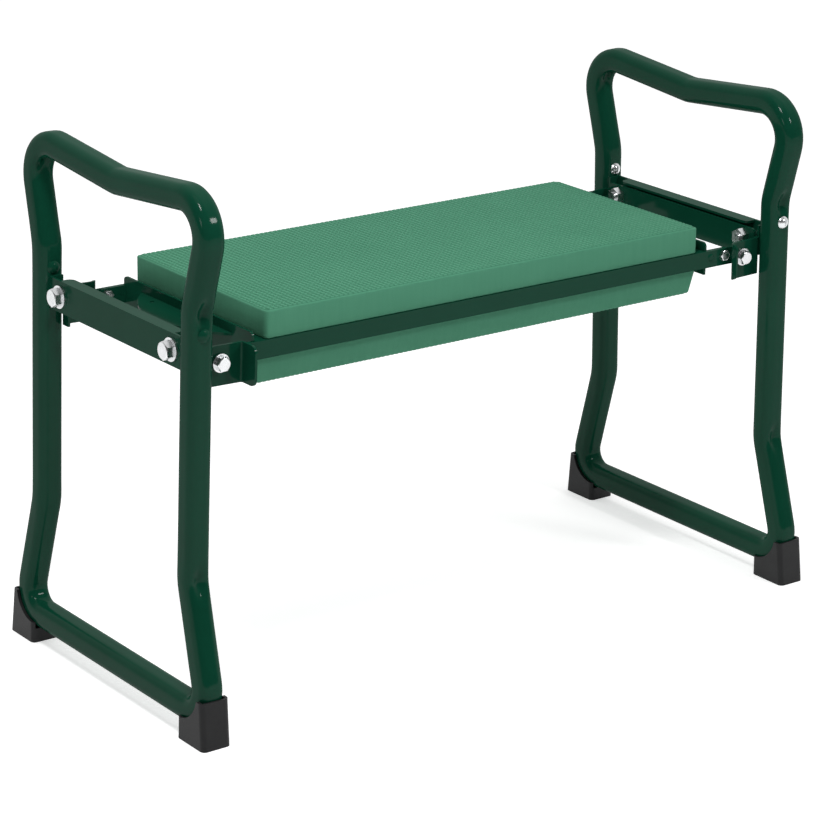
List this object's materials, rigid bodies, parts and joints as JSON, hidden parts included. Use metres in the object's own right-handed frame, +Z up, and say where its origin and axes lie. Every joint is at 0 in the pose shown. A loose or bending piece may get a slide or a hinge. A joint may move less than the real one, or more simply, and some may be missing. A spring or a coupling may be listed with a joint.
{
  "type": "garden kneeler bench",
  "caption": "Folding garden kneeler that turns into a low bench: a steel seat with a foam pad above and below, hinged between end loops of bent tube that are legs and handles.",
  "frame": {"origin": "on the ground under the middle of the seat, with the bench standing as a seat", "axes": "+X along the bench to its right end, +Y from its front to its back, +Z up"},
  "size_m": [0.6006, 0.2846, 0.4159],
  "materials": {
    "green_steel": "dark green powder coat, semi-gloss",
    "green_foam": "closed-cell EVA foam, matt, with a fine waffle on the seat",
    "foot_plastic": "moulded charcoal plastic, matt",
    "zinc_steel": "bright zinc plate"
  },
  "bodies": {
    "seat": {"deck": "green_steel", "front_rail": "green_steel", "rear_rail": "green_steel", "left_end_plate": "green_steel", "right_end_plate": "green_steel", "top_pad": "green_foam", "bottom_pad": "green_foam", "pivot_bolts": "zinc_steel", "pivot_nuts": "zinc_steel", "pivot_spacers": "zinc_steel", "end_plate_bolts": "zinc_steel", "end_plate_nuts": "zinc_steel", "rail_rivets": "green_steel"},
    "right_leg": {"right_leg_tube": "green_steel", "right_front_foot": "foot_plastic", "right_rear_foot": "foot_plastic", "right_cross_channel": "green_steel", "right_hinge_bracket": "green_steel", "right_channel_bolts": "zinc_steel", "right_channel_nuts": "zinc_steel", "right_leg_bolts": "zinc_steel", "right_leg_nuts": "green_steel"},
    "left_leg": {"left_leg_tube": "green_steel", "left_front_foot": "foot_plastic", "left_rear_foot": "foot_plastic", "left_cross_channel": "green_steel", "left_hinge_bracket": "green_steel", "left_channel_bolts": "zinc_steel", "left_channel_nuts": "zinc_steel", "left_leg_bolts": "zinc_steel", "left_leg_nuts": "green_steel"}
  },
  "joints": [
    {"name": "right_leg_fold", "type": "hinge", "parent": "seat", "child": "right_leg", "pos_m": [0.254, 0, 0.28], "axis": [0, 1, 0], "range_deg": [0, 88]},
    {"name": "left_leg_fold", "type": "hinge", "parent": "seat", "child": "left_leg", "pos_m": [-0.254, 0, 0.28], "axis": [0, -1, 0], "range_deg": [0, 80]}
  ]
}
